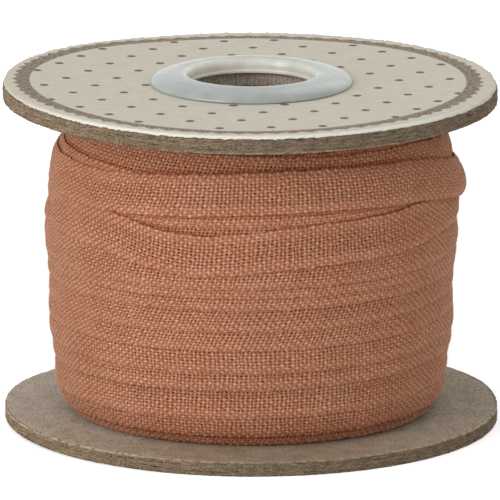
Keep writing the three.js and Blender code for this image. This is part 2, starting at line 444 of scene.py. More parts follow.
def thread_relief(at):
    """How far each crossing stands off the tape, and how deep the pit in each cell is."""
    parity = (np.arange(len(at))[:, None] + np.arange(END_COUNT)) % 2
    flat = 1 - 0.6 * sideways(at)[:, None]
    crest = flat * (THREAD_LIFT * (2 * parity - 1) + CHANCE.normal(0, THREAD_UNEVEN, parity.shape))
    crest[:, [0, -1]] -= 0.04
    cells = np.arange(END_COUNT - 1)
    openness = np.interp(np.minimum(cells, cells[::-1]), [0, 1, 2, 3], [0.05, 0.25, 0.65, 1.0])
    closing = 1 - 0.5 * sideways(at[:-1])[:, None]
    uneven = CHANCE.uniform(0.5, 1.3, (len(at) - 1, END_COUNT - 1))
    return crest, -HOLE_DEPTH * closing * openness * uneven


def tape_faces(picks, rows, width):
    """The corners, UVs in threads and kinds of a tape's faces: four round each pit, and the back and rims.
    The points are rows of crossings and rim, then the pits."""
    i, j = grid(picks, END_COUNT - 1)
    here, there = (i % rows) * width, ((i + 1) % rows) * width
    a, b, c, d = here + j, there + j, there + j + 1, here + j + 1
    pit = rows * width + i * (END_COUNT - 1) + j
    weave = np.stack([a, b, pit, b, c, pit, c, d, pit, d, a, pit], -1).reshape(-1, 3)
    corners = np.array([[0, 0], [1, 0], [1, 1], [0, 1]])
    around_pit = [p for k in range(4) for p in (corners[k], corners[(k + 1) % 4], (0.5, 0.5))]
    weave_uv = (np.stack([i, j], -1)[:, :, None, :] + np.array(around_pit)).reshape(-1, 2)

    ring = np.arange(END_COUNT - 1, width)
    following = np.append(ring[1:], 0)
    v = np.array([12, 12.5, 12.5, 6, -0.5, -0.5, 0])
    i, k = grid(picks, len(ring))
    here, there = (i % rows) * width, ((i + 1) % rows) * width
    a, b, c, d = here + ring[k], there + ring[k], there + following[k], here + following[k]
    back = np.stack([a, b, c, a, c, d], -1).reshape(-1, 3)
    low, high = v[k], v[k + 1]
    back_uv = np.stack([i, low, i + 1, low, i + 1, high, i, low, i + 1, high, i, high], -1)
    kinds = np.repeat([0, 1], [len(weave), len(back)])
    return np.concatenate([weave, back]), np.concatenate([weave_uv, back_uv.reshape(-1, 2)]), kinds


def tape_piece(name, course, laid, closed, smooth, materials):
    """One stretch of woven tape: a lattice of crossings with a pit in each cell, and a turned-in rim."""
    outer = np.vstack([laid, laid[:1]]) if closed else laid
    span = course.end - course.start
    picks = int(round(math.radians(span) * TAPE_RADIUS / PICK_PITCH))
    at = pick_azimuths(course, picks)
    ends = (np.arange(END_COUNT) + 0.5) * END_PITCH
    pick_angle = math.degrees(PICK_PITCH / TAPE_RADIUS)
    lattice = (picks + 1, END_COUNT)
    thread_at = at[:, None] + pick_angle * scatter(lattice, ALONG_JITTER, closed)
    thread_across = ends + END_PITCH * scatter(lattice, ASIDE_JITTER, closed)
    wander = edge_wander(at, closed)

    def surface(azimuths, across, depth):
        """Points on the tape at each azimuth of its middle line, with the picks leaning along it."""
        squeeze = course.squeeze(azimuths)
        along = course.lean(azimuths) * squeeze * (across - TAPE_WIDTH / 2)
        there = azimuths + np.degrees(along / TAPE_RADIUS)
        placed = course.start + (there - course.start) % span if closed else there
        row = (placed - course.start) / AZIMUTH_STEP
        radius = sample(outer, row, across / ROW_STEP + 0 * row) + depth
        share = across / TAPE_WIDTH
        lower, upper = (np.interp(azimuths, at, w) for w in wander)
        height = course.low(placed) + across * squeeze
        return around(radius, there, height + lower * (1 - share) ** 3 + upper * share ** 3)

    crest, pit = thread_relief(at)
    crossings = surface(thread_at, thread_across, crest)
    pits = surface(cell_middle(thread_at), cell_middle(thread_across), pit)
    rim_across = np.array([TAPE_WIDTH, TAPE_WIDTH - 0.15, TAPE_WIDTH / 2, 0.15, 0.0])
    rim_depth = np.array([-0.55, -0.95, -0.95, -0.95, -0.55]) * TAPE_THICKNESS
    rim = surface(at[:, None] + 0 * rim_across, rim_across[None, :] + 0 * at[:, None], rim_depth[None, :])
    swell = np.where(np.arange(picks + 1) % 2 == 0, EDGE_SCALLOP, -EDGE_SCALLOP * 0.2)
    rim[:, 0, 2] += swell * MM
    rim[:, 4, 2] -= swell * MM

    rows = picks if closed else picks + 1
    section = np.concatenate([crossings, rim], 1)[:rows]
    points = np.concatenate([section.reshape(-1, 3), pits.reshape(-1, 3)])
    faces, uv, kinds = tape_faces(picks, rows, section.shape[1])
    sunk = sunk_below(smooth, points)
    mesh_piece(name, "winding", points, faces, uv, "weave", materials, kinds, sunk)


def fuzz(field, material):
    """Short loose fibres that stand off the tape, each a thin spike of three sides."""
    azimuth = CHANCE.uniform(-180, 180, FUZZ_COUNT)
    height = CHANCE.uniform(WINDING_LOW + 1, WINDING_HIGH - 1, FUZZ_COUNT)
    root = around(wound(field, azimuth, height) - FUZZ_ROOT, azimuth, height) / MM
    a = np.radians(azimuth)
    outward = np.stack([np.sin(a), -np.cos(a), 0 * a], -1)
    beside = np.stack([np.cos(a), np.sin(a), 0 * a], -1)
    slant = CHANCE.uniform(0, 2 * math.pi, FUZZ_COUNT)[:, None]
    across = beside * np.cos(slant) + np.array([0.0, 0.0, 1.0]) * np.sin(slant)
    length = CHANCE.uniform(*FUZZ_LENGTH, FUZZ_COUNT)[:, None]
    rise = CHANCE.uniform(0.25, 0.9, FUZZ_COUNT)[:, None]
    tip = root + length * (across * (1 - 0.5 * rise) + outward * rise * 0.75)
    thick = CHANCE.uniform(*FUZZ_THICKNESS, FUZZ_COUNT)[:, None]
    side = np.cross(across, outward)
    foot = [root + thick * (side * math.cos(t) + outward * math.sin(t)) for t in (0.0, 2.1, 4.2)]
    points = np.stack([*foot, tip], 1).reshape(-1, 3) * MM
    spike = np.array([[0, 1, 3], [1, 2, 3], [2, 0, 3], [2, 1, 0]])
    faces = (4 * np.arange(FUZZ_COUNT)[:, None, None] + spike).reshape(-1, 3)
    uv = np.repeat(CHANCE.uniform(0, 40, (FUZZ_COUNT, 2)), 3 * len(spike), 0)
    mesh_piece("ribbon_fuzz", "winding", points, faces, uv, "weave", [material])


class Graph:
    """The nodes of a material or a world, with a short call for each kind that is used here."""

    def __init__(self, name, world=False):
        self.owner = (bpy.data.worlds if world else bpy.data.materials).new(name)
        self.owner.use_nodes = True
        self.tree = self.owner.node_tree
        self.tree.nodes.clear()
        self.output = self.node("OutputWorld" if world else "OutputMaterial")

    def node(self, kind, inputs=None, **settings):
        """A new node, with its inputs by name or number and its own settings."""
        made = self.tree.nodes.new("ShaderNode" + kind)
        for key, value in settings.items():
            setattr(made, key, value)
        for key, value in (inputs or {}).items():
            self.put(made.inputs[key], value)
        return made

    def put(self, socket, value):
        if isinstance(value, bpy.types.NodeSocket):
            self.tree.links.new(value, socket)
        else:
            socket.default_value = value

    def math(self, operation, a, b=0.0, c=0.0, clamp=False):
        made = self.node("Math", operation=operation, use_clamp=clamp)
        for socket, value in zip(made.inputs, (a, b, c)):
            self.put(socket, value)
        return made.outputs[0]

    def times(self, a, b):
        return self.math("MULTIPLY", a, b)

    def less(self, a, b):
        return self.math("SUBTRACT", a, b)

    def flip(self, value):
        """1 less the value."""
        return self.less(1.0, value)

    def total(self, *terms, clamp=False):
        """The sum of the terms, each a socket, a number, or a (socket, factor) pair."""
        result = 0.0
        for i, term in enumerate(terms):
            last = clamp and i == len(terms) - 1
            if isinstance(term, tuple):
                result = self.math("MULTIPLY_ADD", *term, result, clamp=last)
            else:
                result = self.math("ADD", term, result, clamp=last)
        return result

    def wave(self, value, rate):
        return self.math("COSINE", self.times(value, rate))

    def step(self, value, low, high):
        """0 below low, 1 above high, smooth between."""
        inputs = {"Value": value, "From Min": low, "From Max": high, "To Min": 0.0, "To Max": 1.0}
        return self.node("MapRange", inputs, interpolation_type="SMOOTHSTEP").outputs["Result"]

    def mix(self, factor, a, b, blend="MIX"):
        made = self.node("Mix", {0: factor, 6: a, 7: b}, data_type="RGBA", blend_type=blend)
        return made.outputs[2]

    def paint(self, factor, colour, *rgb):
        """The colour, turned to the 0-255 screen colour as far as the factor says."""
        return self.mix(factor, colour, (*linear(*rgb), 1.0))

    def tint(self, factor, colour, rgb):
        """The colour, multiplied by rgb as far as the factor says."""
        return self.mix(factor, colour, (*rgb, 1.0), "MULTIPLY")

    def noise(self, vector, scale, detail=2.0, roughness=0.5):
        inputs = {"Vector": vector, "Scale": scale, "Detail": detail, "Roughness": roughness}
        return self.node("TexNoise", inputs).outputs[0]

    def vector_math(self, operation, *inputs):
        return self.node("VectorMath", dict(enumerate(inputs)), operation=operation).outputs

    def chance_at(self, vector):
        """A random number for each cell between whole values of the vector."""
        moved = self.vector_math("ADD", vector, (0.5, 0.5, 0.5))[0]
        whole = self.vector_math("FLOOR", moved)[0]
        return self.node("TexWhiteNoise", {"Vector": whole}, noise_dimensions="2D").outputs["Value"]

    def ramp(self, value, stops):
        made = self.node("ValToRGB", {"Fac": value})
        elements = made.color_ramp.elements
        while len(elements) < len(stops):
            elements.new(0.5)
        for element, (position, colour) in zip(elements, stops):
            element.position = position
            element.color = (*colour, 1.0)
        return made.outputs["Color"]

    def uv(self, name):
        return self.node("UVMap", uv_map=name).outputs["UV"]

    def place(self):
        """The surface point in millimetres, and its x, y and z."""
        point = self.node("TexCoord").outputs["Object"]
        point = self.vector_math("MULTIPLY", point, (1 / MM, 1 / MM, 1 / MM))[0]
        return point, *self.split(point)

    def split(self, vector):
        return self.node("SeparateXYZ", {0: vector}).outputs

    def join(self, x, y, z=0.0):
        return self.node("CombineXYZ", {0: x, 1: y, 2: z}).outputs[0]

    def length(self, x, y):
        return self.vector_math("LENGTH", self.join(x, y))["Value"]

    def bump(self, height, strength, distance):
        inputs = {"Height": height, "Strength": strength, "Distance": distance * MM}
        return self.node("Bump", inputs).outputs["Normal"]

    def seen(self):
        """1 for what the camera sees, straight, mirrored or through something clear, and 0 for light."""
        paths = self.node("LightPath").outputs
        direct = self.math("MAXIMUM", paths["Is Camera Ray"], paths["Is Glossy Ray"])
        return self.math("MAXIMUM", direct, paths["Is Transmission Ray"])

    def show(self, shader):
        self.tree.links.new(shader.outputs[0], self.output.inputs["Surface"])
        return self.owner

    def surface(self, colour, normal=None, **settings):
        """A principled surface; settings name its own sockets."""
        made = self.node("BsdfPrincipled", {"Base Color": colour})
        for key, value in settings.items():
            self.put(made.inputs[key.replace("_", " ")], value)
        if normal is not None:
            self.put(made.inputs["Normal"], normal)
        return self.show(made)


def linear(*rgb):
    """A linear colour from 0-255 screen values."""
    return tuple((v / 255 / 12.92) if v <= 10 else ((v / 255 + 0.055) / 1.055) ** 2.4 for v in rgb)


# The hole colour is painted shade in the weave's pits.
PAINTED_HOLE_SHADE = linear(92, 38, 14)
CLOTH_DEEP = linear(116, 54, 26)
CLOTH_SHADE = linear(171, 106, 73)
CLOTH_MAIN = linear(206, 144, 112)
CLOTH_LIGHT = linear(240, 194, 166)
# Painted shade: what the cloth's colour is multiplied by in a cleft, at the sides and at the foot.
CLEFT_PAINTED_SHADE = (0.8, 0.52, 0.38)
SIDES_PAINTED_SHADE = (0.89, 0.92, 0.92)
FOOT_PAINTED_SHADE = (0.72, 0.62, 0.56)


def thread_shapes(g, u, v):
    """Waves that peak along each pick, along each end and on each slant, and the height of the threads."""
    pick = g.wave(u, 2 * math.pi)
    end = g.wave(v, 2 * math.pi)
    rising = g.wave(g.math("ADD", u, v), math.pi)
    falling = g.wave(g.less(u, v), math.pi)
    over = g.total((rising, 0.5), (falling, 0.5))
    weft = g.total(0.5, pick, (over, -THREAD_WAVE))
    warp = g.total(0.5, end, (over, THREAD_WAVE))
    threads = g.node("Math", {0: weft, 1: warp, 2: 0.35}, operation="SMOOTH_MAX").outputs[0]
    return pick, end, rising, falling, threads


def ribbon_material(name, sheen):
    """Plain-woven cotton: rounded threads that pass over and under, painted lighter on their crowns and
    darker between, and a hole of painted shade in some of the cells.
    """
    g = Graph(name)
    u, v, _ = g.split(g.uv("weave"))
    cloth = g.join(g.times(u, PICK_PITCH), g.times(v, END_PITCH))
    # Threads wander a little more than the mesh does.
    stray = g.node("TexNoise", {"Vector": cloth, "Scale": 1.1, "Detail": 1.0}).outputs["Color"]
    stray_u, stray_v, _ = g.split(stray)
    u = g.total(u, (stray_u, 0.6), -0.3)
    v = g.total(v, (stray_v, 0.6), -0.3)
    pick, end, rising, falling, threads = thread_shapes(g, u, v)
    _, x, _, z = g.place()
    left = g.flip(g.step(x, -22.0, -4.0))
    sides = g.step(g.math("ABSOLUTE", x), 17.0, 30.0)
    calm = g.total(1.0, (sides, -0.6))
    crossing = g.chance_at(g.join(u, v))
    cell = g.chance_at(g.join(g.math("ADD", u, 0.5), g.math("ADD", v, 0.5)))
    fibre = g.noise(cloth, 5.0, 3.0, 0.7)
    twist = g.noise(g.join(g.total((u, 2.6), (v, -1.9)), g.total((u, 0.5), (v, 0.7))), 1.0, 2.0, 0.6)
    fluff = g.noise(cloth, 1.4, 2.0)
    patch = g.noise(cloth, 0.12, 2.0)
    # Painted light and shade of the threads: crowns lighter and gaps darker, weaker at the sides, with the
    # two slants weighted differently at the left as light falls there. The rest is the cotton's own uneven
    # tone.
    level = g.total(
        -0.475,
        g.times(calm, g.total((threads, 0.12), (pick, 0.06), (end, 0.03))),
        g.times(rising, g.total(0.12, (left, -0.07))),
        g.times(falling, g.total(0.05, (left, 0.1))),
        (crossing, 0.1), (fibre, 0.95), (twist, 0.4), (fluff, 0.12), (patch, 0.2),
    )
    colour = g.ramp(level, ((0.0, CLOTH_DEEP), (0.3, CLOTH_SHADE), (0.6, CLOTH_MAIN), (1.0, CLOTH_LIGHT)))
    # Painted shade of holes shows in some cells, fewer at the selvedges and at the sides.
    selvedge = g.step(g.math("ABSOLUTE", g.less(v, (END_COUNT - 1) / 2)), 2.9, 4.9)
    hole = g.flip(g.step(g.total((pick, 0.5), (end, 0.5), (fibre, 0.8)), -0.6, 0.2))
    hole = g.times(hole, g.total(-0.75, (fluff, 1.5), (cell, 1.3), clamp=True))
    hole = g.times(g.times(hole, g.total(1.0, (selvedge, -0.85))), g.total(1.0, (sides, -0.5)))
    colour = g.mix(hole, colour, (*PAINTED_HOLE_SHADE, 1.0))
    # Painted shade in the clefts between turns, faint at the sides, apart from the stray strip's at the left.
    faint = g.times(sides, g.flip(g.times(left, g.step(z, 38.0, 42.0))))
    sunk = g.node("Attribute", attribute_name="sunk").outputs["Fac"]
    colour = g.tint(g.times(g.step(sunk, 0.58, 1.1), g.total(1.0, (faint, -0.7))), colour, CLEFT_PAINTED_SHADE)
    # Painted shade at the sides of the winding.
    colour = g.tint(sides, colour, SIDES_PAINTED_SHADE)
    # Painted shade over the foot turn, next to the board.
    colour = g.tint(g.flip(g.step(z, 3.5, 8.0)), colour, FOOT_PAINTED_SHADE)
    height = g.total((g.times(threads, calm), 0.6), (fibre, 0.9), (twist, 0.5), (hole, -0.8))
    return g.surface(
        colour, g.bump(height, 0.9, 0.12), Roughness=0.95, Specular_IOR_Level=0.0,
        Subsurface_Weight=0.3, Subsurface_Radius=(1.0, 0.45, 0.25), Subsurface_Scale=0.0004,
        Sheen_Weight=sheen, Sheen_Roughness=0.25, Sheen_Tint=(*linear(250, 232, 218), 1.0),
    )


def fluff_material():
    """Loose fibres, paler than the cloth."""
    g = Graph("ribbon_fluff")
    shade = g.noise(g.place()[0], 0.8, 2.0)
    colour = g.ramp(shade, ((0.3, CLOTH_LIGHT), (0.7, linear(250, 222, 202))))
    return g.surface(colour, None, Roughness=0.95, Specular_IOR_Level=0.0)


def board_colour(g, place, dark, light):
    """Mottled fibre colour, with dark and pale flecks."""
    level = g.total((g.noise(place, 0.35, 3.0), 0.5), (g.noise(place, 2.6, 4.0, 0.8), 2.4), -0.95)
    colour = g.ramp(level, ((0.15, dark), (0.85, light)))
    hue = g.ramp(g.noise(place, 1.7, 3.0, 0.7), ((0.35, (1.0, 0.92, 0.82)), (0.65, (0.93, 0.97, 1.0))))
    colour = g.mix(0.8, colour, hue, "MULTIPLY")
    flecks = g.step(g.noise(place, 3.2, 1.0), 0.64, 0.74)
    return g.paint(g.times(flecks, 0.45), colour, 92, 76, 62)


def board_surface(g, colour, normal):
    """The matt finish of cut and pressed card."""
    return g.surface(colour, normal, Roughness=0.95, Specular_IOR_Level=0.1)


def board_face_material():
    """The board's grey face, painted browner and darker towards the front as shade tinted by light off the
    tape, and painted darker to the right, away from the lamp.
    """
    g = Graph("greyboard_face")
    place, x, y, _ = g.place()
    colour = board_colour(g, place, linear(148, 140, 126), linear(220, 212, 199))
    # Painted shade towards the front, tinted brown by light thrown off the tape.
    front = g.math("MULTIPLY_ADD", g.noise(place, 0.12, 2.0), 30.0, y)
    colour = g.tint(g.times(g.flip(g.step(front, -32.0, 14.0)), 0.7), colour, linear(228, 196, 176))
    # Painted shade to the right, away from the lamp.
    colour = g.tint(g.times(g.step(x, -34.0, 10.0), 0.7), colour, linear(222, 219, 214))
    return board_surface(g, colour, g.bump(g.noise(place, 2.6, 4.0, 0.75), 0.8, 0.15))


def board_rim_material():
    """The cut side of the board: plies show as broken lines that run round it, its edge next to the winding
    is worn pale, and it is painted darker to the right as shade away from the lamp."""
    g = Graph("greyboard_rim")
    along, up, _ = g.split(g.uv("rim"))
    place = g.join(along, g.times(up, 1.8))
    _, x, _, height = g.place()
    colour = board_colour(g, place, linear(72, 56, 41), linear(181, 160, 133))
    streak = g.noise(g.join(g.times(along, 0.55), g.times(up, 4.2)), 1.0, 4.0, 0.7)
    long = g.noise(g.join(g.times(along, 0.08), g.times(up, 2.6)), 1.0, 2.0, 0.5)
    dark = g.flip(g.step(g.total((streak, 0.6), (long, 0.4)), 0.38, 0.47))
    pale = g.step(g.total((streak, 0.75), (long, 0.25)), 0.52, 0.62)
    colour = g.paint(g.times(dark, 0.75), colour, 56, 42, 31)
    colour = g.paint(g.times(pale, 0.65), colour, 190, 167, 139)
    # Painted shade: darker to the right, away from the lamp.
    colour = g.tint(g.step(x, -34.0, 5.0), colour, (0.82, 0.84, 0.86))
    edges = (extent("flange_bottom")[1], extent("flange_top")[0])
    from_edge = g.math("MINIMUM", *(g.math("ABSOLUTE", g.less(height, edge)) for edge in edges))
    scuffed = g.step(g.noise(g.join(along, up), 0.9, 3.0, 0.7), 0.36, 0.6)
    scuffed = g.times(g.flip(g.step(from_edge, 0.06, 0.32)), scuffed)
    colour = g.paint(scuffed, colour, 198, 180, 156)
    relief = g.total((streak, 0.9), (g.noise(place, 2.4, 4.0, 0.75), 0.8))
    return board_surface(g, colour, g.bump(relief, 0.9, 0.2))


def dots(g, x, y):
    """1 on a dot of the printed lattice, else 0."""
    area = DOT_ALONG[0] * DOT_DOWN[1] - DOT_ALONG[1] * DOT_DOWN[0]
    dx = g.less(x, DOT_ORIGIN[0])
    dy = g.less(y, DOT_ORIGIN[1])
    s = g.total((dx, DOT_DOWN[1] / area), (dy, -DOT_DOWN[0] / area))
    t = g.total((dx, -DOT_ALONG[1] / area), (dy, DOT_ALONG[0] / area))
    ds = g.less(s, g.math("ROUND", s))
    dt = g.less(t, g.math("ROUND", t))
    off_x, off_y = (g.total((ds, DOT_ALONG[k]), (dt, DOT_DOWN[k])) for k in (0, 1))
    return g.flip(g.step(g.length(off_x, off_y), DOT_RADIUS - 0.1, DOT_RADIUS + 0.1))


def toothed_ring(g, x, y):
    """1 in the printed ring, whose outer side is cut into teeth, and 1 where the dots may lie, inside it."""
    rx = g.less(x, RING_CENTRE[0])
    ry = g.less(y, RING_CENTRE[1])
    angle = g.math("ARCTAN2", rx, g.times(ry, -1.0))
    lobes = g.wave(angle, 3.0)
    outward = g.less(g.length(rx, ry), g.total(RING_RADIUS, (lobes, RING_LOBES)))
    worn = g.total(-0.7, (g.noise(g.join(x, y), 1.9, 3.0, 0.75), 1.4))
    tooth = g.math("PINGPONG", g.times(angle, RING_TEETH / (2 * math.pi)), 0.5)
    facing = g.math("COSINE", angle)
    narrow = g.total((facing, -0.2), (g.math("POWER", g.math("ABSOLUTE", facing), 4.0), -0.4))
    cut = g.math("POWER", g.times(tooth, 2.0), 0.9)
    width = g.total((cut, TOOTH_DEPTH), RING_WIDTH, narrow, worn)
    past_inner = g.step(g.math("MULTIPLY_ADD", worn, 0.3, outward), -0.1, 0.1)
    before_outer = g.flip(g.step(g.less(outward, width), -0.08, 0.08))
    return g.times(past_inner, before_outer), g.flip(past_inner)


def label_material():
    """Printed paper: a ring and dots in uneven brown ink, and a border painted pale at the front as a
    highlight where its rolled edge faces the light.
    """
    g = Graph("label_paper")
    place, x, y, _ = g.place()
    mottle = g.noise(place, 0.5, 4.0, 0.6)
    grain = g.noise(place, 5.0, 3.0, 0.7)
    relief = g.total((mottle, 0.5), (grain, 0.5))
    paper = g.ramp(relief, ((0.35, linear(197, 191, 175)), (0.65, linear(212, 205, 190))))
    # Painted highlight: the rolled border turns pale at the front, where it faces the light.
    border = g.step(g.math("MULTIPLY_ADD", grain, 1.2, g.length(x, y)), 39.2, 40.4)
    paper = g.paint(g.times(border, g.flip(g.step(y, -34.0, -8.0))), paper, 238, 234, 222)
    ring, inner = toothed_ring(g, x, y)
    speckle = g.noise(g.join(g.times(x, 1.9), g.times(y, 0.9)), 1.0, 3.0, 0.75)
    ring_ink = g.ramp(speckle, ((0.36, linear(94, 77, 59)), (0.64, linear(158, 142, 123))))
    dot_ink = g.ramp(speckle, ((0.3, linear(80, 69, 50)), (0.7, linear(106, 95, 76))))
    colour = g.mix(g.times(ring, 0.95), paper, ring_ink)
    colour = g.mix(g.times(g.times(dots(g, x, y), inner), 0.95), colour, dot_ink)
    return g.surface(colour, g.bump(relief, 0.35, 0.06), Roughness=0.75, Specular_IOR_Level=0.3)


def eyelet_material():
    """Milky plastic: cool outside, painted darker at the front and left and lighter behind and to the right
    as light falls on it, and warm down its throat, where the card shows through.
    """
    g = Graph("milky_plastic")
    place, x, y, z = g.place()
    cloud = g.noise(place, 0.35, 3.0)
    front, behind, within = (
        g.ramp(cloud, ((0.35, linear(*dark)), (0.65, linear(*light))))
        for dark, light in (
            ((160, 166, 164), (171, 176, 173)),
            ((174, 181, 176), (184, 189, 184)),
            ((221, 217, 205), (235, 232, 221)),
        )
    )
    radius = g.length(x, y)
    # Painted shade and light: the front and left are darker than the back and right.
    outside = g.mix(g.step(g.total(y, (radius, -0.8), (x, 0.35)), -27.0, -8.0), front, behind)
    colour = g.mix(g.flip(g.step(radius, 10.1, 11.5)), outside, within)
    lines = g.noise(g.join(g.times(radius, 2.6), g.times(z, 2.6)), 1.0, 2.0)
    normal = g.bump(g.total((g.noise(place, 0.9, 3.0), 0.7), (lines, 0.25)), 0.35, 0.08)
    return g.surface(
        colour, normal, Roughness=0.16, IOR=1.5,
        Subsurface_Weight=0.2, Subsurface_Radius=(0.8, 0.9, 1.0), Subsurface_Scale=0.001,
    )


def card_material():
    """Cut and pressed card: lines run along the hole."""
    g = Graph("core_card")
    place, x, y, z = g.place()
    colour = board_colour(g, place, linear(146, 134, 120), linear(212, 200, 184))
    angle = g.math("ARCTAN2", x, y)
    scored = g.noise(g.join(g.times(angle, 36.0), g.times(z, 0.5)), 1.0, 3.0, 0.6)
    colour = g.paint(g.times(g.step(scored, 0.5, 0.66), 0.6), colour, 92, 80, 68)
    relief = g.total((g.noise(place, 2.0, 4.0, 0.7), 0.5), (scored, -0.6))
    return board_surface(g, colour, g.bump(relief, 0.6, 0.15))


def ring_faces(segments, rows):
    """The corners of the quads between the rows of a closed ring, with each quad's segment and row."""
    i, j = grid(segments, rows)
    there, up = (i + 1) % segments, (j + 1) % rows
    faces = np.stack([i * rows + j, there * rows + j, there * rows + up, i * rows + up], -1).reshape(-1, 4)
    return faces, i, j


def quad_uv(u, v, far_u, far_v):
    return np.stack([u, v, far_u, v, far_u, far_v, u, far_v], -1).reshape(-1, 2)


def lathe(name, node, profile, segments, materials, wobble=None, shift=0.0):
    """Turns a closed (radius, height) profile about Z. wobble(azimuths, profile) adds to each point's radius
    and height, and shift moves the piece along X."""
    profile = np.array(profile, float)
    azimuth = 360 * np.arange(segments) / segments
    radius, height = (np.repeat(column[None, :], segments, 0) for column in profile.T)
    if wobble is not None:
        outward, upward = wobble(azimuth, profile)
        radius += outward
        height += upward
    points = around(radius, azimuth[:, None], height).reshape(-1, 3)
    points[:, 0] += shift * MM
    faces, i, j = ring_faces(segments, len(profile))
    along = 2 * math.pi * profile[:, 0].max() / segments
    hops = np.diff(np.vstack([profile, profile[:1]]), axis=0)
    travel = np.concatenate([[0], np.cumsum(np.hypot(*hops.T))])
    uv = quad_uv(i * along, travel[j], (i + 1) * along, travel[j + 1])
    return mesh_piece(name, node, points, faces, uv, "rim", materials)


def rough(share, *layers):
    """Smooth random values round a rim, at shares of it. Each layer is (size, cells), and they add up."""
    total = np.zeros(len(share))
    for size, cells in layers:
        table = CHANCE.uniform(-1, 1, cells)
        i = np.floor(share * cells).astype(int)
        t = share * cells - i
        t = t * t * (3 - 2 * t)
        total += size * (table[i % cells] * (1 - t) + table[(i + 1) % cells] * t)
    return total


def warp(rises, azimuth, radius):
    """How far a warped disc rises, over (azimuth, radius in millimetres)."""
    azimuth = (azimuth + 180) % 360 - 180
    return smooth_curve(*zip(*rises), azimuth)[:, None] * (radius[None, :] / RIM_RADIUS) ** 3


def board_profile(bottom, top, radius):
    """The board's section, from the top of the hole down it, out under the board, up the rim and back."""
    hole = [(HOLE_RADIUS, z) for z in np.linspace(top - 0.1, bottom + 0.1, 6)]
    rim = [(radius, z) for z in np.linspace(bottom + 0.22, top - 0.22, 13)]
    # radius, depth below the face
    face = [(HOLE_RADIUS + 0.1, 0)]
    face += [(r, 0) for r in np.linspace(HOLE_RADIUS + 3, radius - 1.5, 9)]
    face += [(radius - 0.4, 0), (radius - 0.18, 0.04), (radius - 0.05, 0.12)]
    return hole + [(r, bottom + d) for r, d in face] + rim + [(r, top - d) for r, d in face[::-1]]


def board(node, materials, rises, shift=0.0):
    """A greyboard disc with a cut rim whose plies stand in and out, and a bored middle."""
    bottom, top, radius = extent(node)

    def ragged(azimuth, points):
        share = azimuth / 360
        radial = np.zeros((len(azimuth), len(points)))
        vertical = np.zeros_like(radial)
        for k, (r, z) in enumerate(points):
            if r > radius - 0.6:
                radial[:, k] = 0.045 * rough(share, (0.5, 60), (1, 210), (1, 560)) - 0.05
            if radius - 0.6 < r < radius:
                vertical[:, k] = rough(share, (0.04, 300), (0.03, 600))
            elif HOLE_RADIUS + 1 < r < radius - 0.6:
                vertical[:, k] = rough(share, (0.02, 60))
            if z < bottom + 0.1:
                vertical[:, k] = np.abs(vertical[:, k])
        return radial, vertical + warp(rises, azimuth, points[:, 0])

    profile = board_profile(bottom, top, radius)
    piece = lathe(node + "_board", node, profile, 960, materials, ragged, shift)
    centres = np.zeros(len(piece.data.polygons) * 3, np.float32)
    piece.data.polygons.foreach_get("center", centres)
    reach = np.hypot(centres[0::3], centres[1::3]) / MM
    slots = np.zeros(len(reach), np.int32)
    slots[reach > radius - 0.45] = 1
    slots[reach < HOLE_RADIUS + 0.02] = 2
    piece.data.polygons.foreach_set("material_index", slots)


def label():
    """The paper disc, whose border is rolled down over the board and a little uneven."""
    _, top, radius = extent("label")
    inner = HOLE_RADIUS + 0.15
    under = extent("flange_top")[1] + 0.03
    profile = [(inner, under), (radius - 0.3, under), (radius - 0.05, under + 0.05)]
    profile += [(radius - 0.02, under + 0.1), (radius - 0.08, top - 0.12), (radius - 0.25, top - 0.05)]
    profile += [(radius - 0.5, top - 0.02), (radius - 1.2, top - 0.01), (radius - 2.0, top)]
    profile += [(r, top) for r in np.linspace(radius - 4, inner + 1, 12)]
    profile += [(inner, top)]

    def uneven(azimuth, points):
        share = azimuth / 360
        edge = rough(share, (0.04, 90), (0.05, 300), (0.05, 700)) - 0.05
        sag = rough(share, (0.05, 120), (0.07, 400), (0.09, 900))
        outer = points[None, :, 0] > radius - 0.3
        rise = warp(TOP_WARP, azimuth, points[:, 0])
        return np.where(outer, edge[:, None], 0), np.where(outer, sag[:, None], 0) + rise

    lathe("label_sheet", "label", profile, 960, [label_material()], uneven)


def eyelet():
    """The moulded ring: a domed lip on the label and a short skirt down the hole."""
    low, crest, reach = extent("eyelet")
    lip, foot = reach - 0.08, low + 0.15
    seat = extent("label")[1]
    # inwards from the lip's outer side, height
    curve = (
        (0.3, seat + 0.02), (0.04, seat + 0.1), (0.0, seat + 0.28), (0.1, seat + 0.55),
        (0.4, seat + 0.9), (0.9, seat + 1.2), (1.9, seat + 1.55), (3.2, seat + 1.83), (4.4, crest),
        (5.4, crest - 0.14), (5.9, crest - 0.55), (6.08, crest - 1.15), (6.12, crest - 1.85),
        (6.2, crest - 2.02), (6.22, crest - 2.25), (6.2, foot + 0.1), (6.0, foot), (5.6, foot),
        (5.45, foot + 0.1), (5.4, seat + 0.02),
    )
    inwards, heights = zip(*curve)
    keys = np.arange(len(curve))
    fine = np.arange(0, len(curve) - 0.99, 0.25)
    profile = np.stack([lip - smooth_curve(keys, inwards, fine), smooth_curve(keys, heights, fine)], 1)[::-1]
    lathe("eyelet_ring", "eyelet", profile, 256, [eyelet_material()], shift=EYELET_SHIFT)


